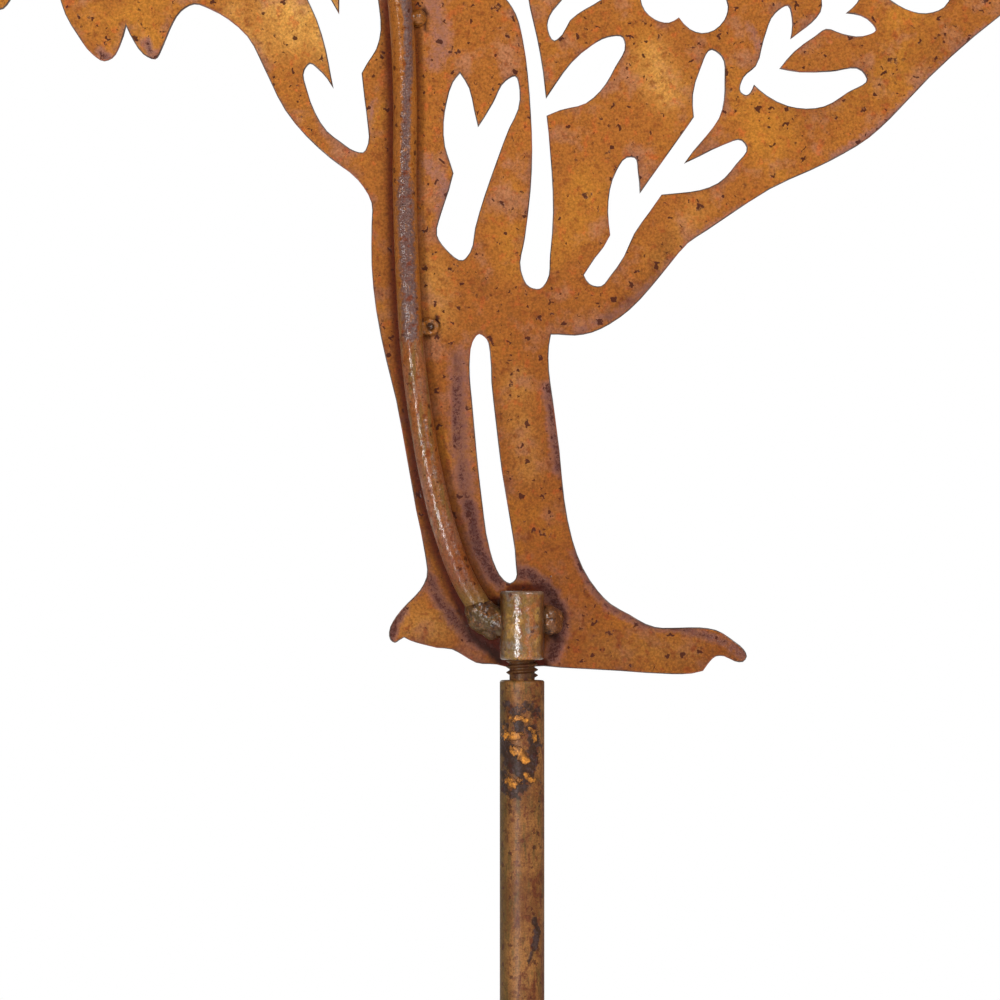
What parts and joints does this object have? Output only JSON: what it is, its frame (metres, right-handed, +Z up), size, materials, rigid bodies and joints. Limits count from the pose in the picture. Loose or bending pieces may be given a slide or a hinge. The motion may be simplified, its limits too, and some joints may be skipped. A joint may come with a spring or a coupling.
{
  "type": "garden stake",
  "caption": "Flat rooster cut from rusted sheet steel with leaf and flower cut-outs, a support rod and threaded socket on its back, screwed on a pointed ground stake.",
  "frame": {"origin": "on the stake's axis at ground level", "axes": "+Z up along the stake, +X the way the rooster faces, +Y out of the figure's front, away from the rod and socket"},
  "size_m": [0.398, 0.0133, 0.8353],
  "materials": {
    "rust_sheet": "even orange rust under a clear coat, semi-gloss, with dark specks and purple heat tint",
    "rust_rod": "rust brown under a clear coat, glossy",
    "socket_bar": "olive brown under a clear coat, glossy",
    "stake_bar": "brown, worn and flaked near the shoulder, satin",
    "weld_metal": "dark brown, lumpy, glossy"
  },
  "bodies": {
    "root": {"rooster_figure": "rust_sheet", "support_rod": "rust_rod", "threaded_socket": "socket_bar", "ground_stake": "stake_bar", "tack_weld_top": "weld_metal", "tack_weld_upper": "weld_metal", "tack_weld_lower": "weld_metal", "rod_end_weld": "weld_metal", "socket_side_weld": "weld_metal"}
  },
  "joints": []
}
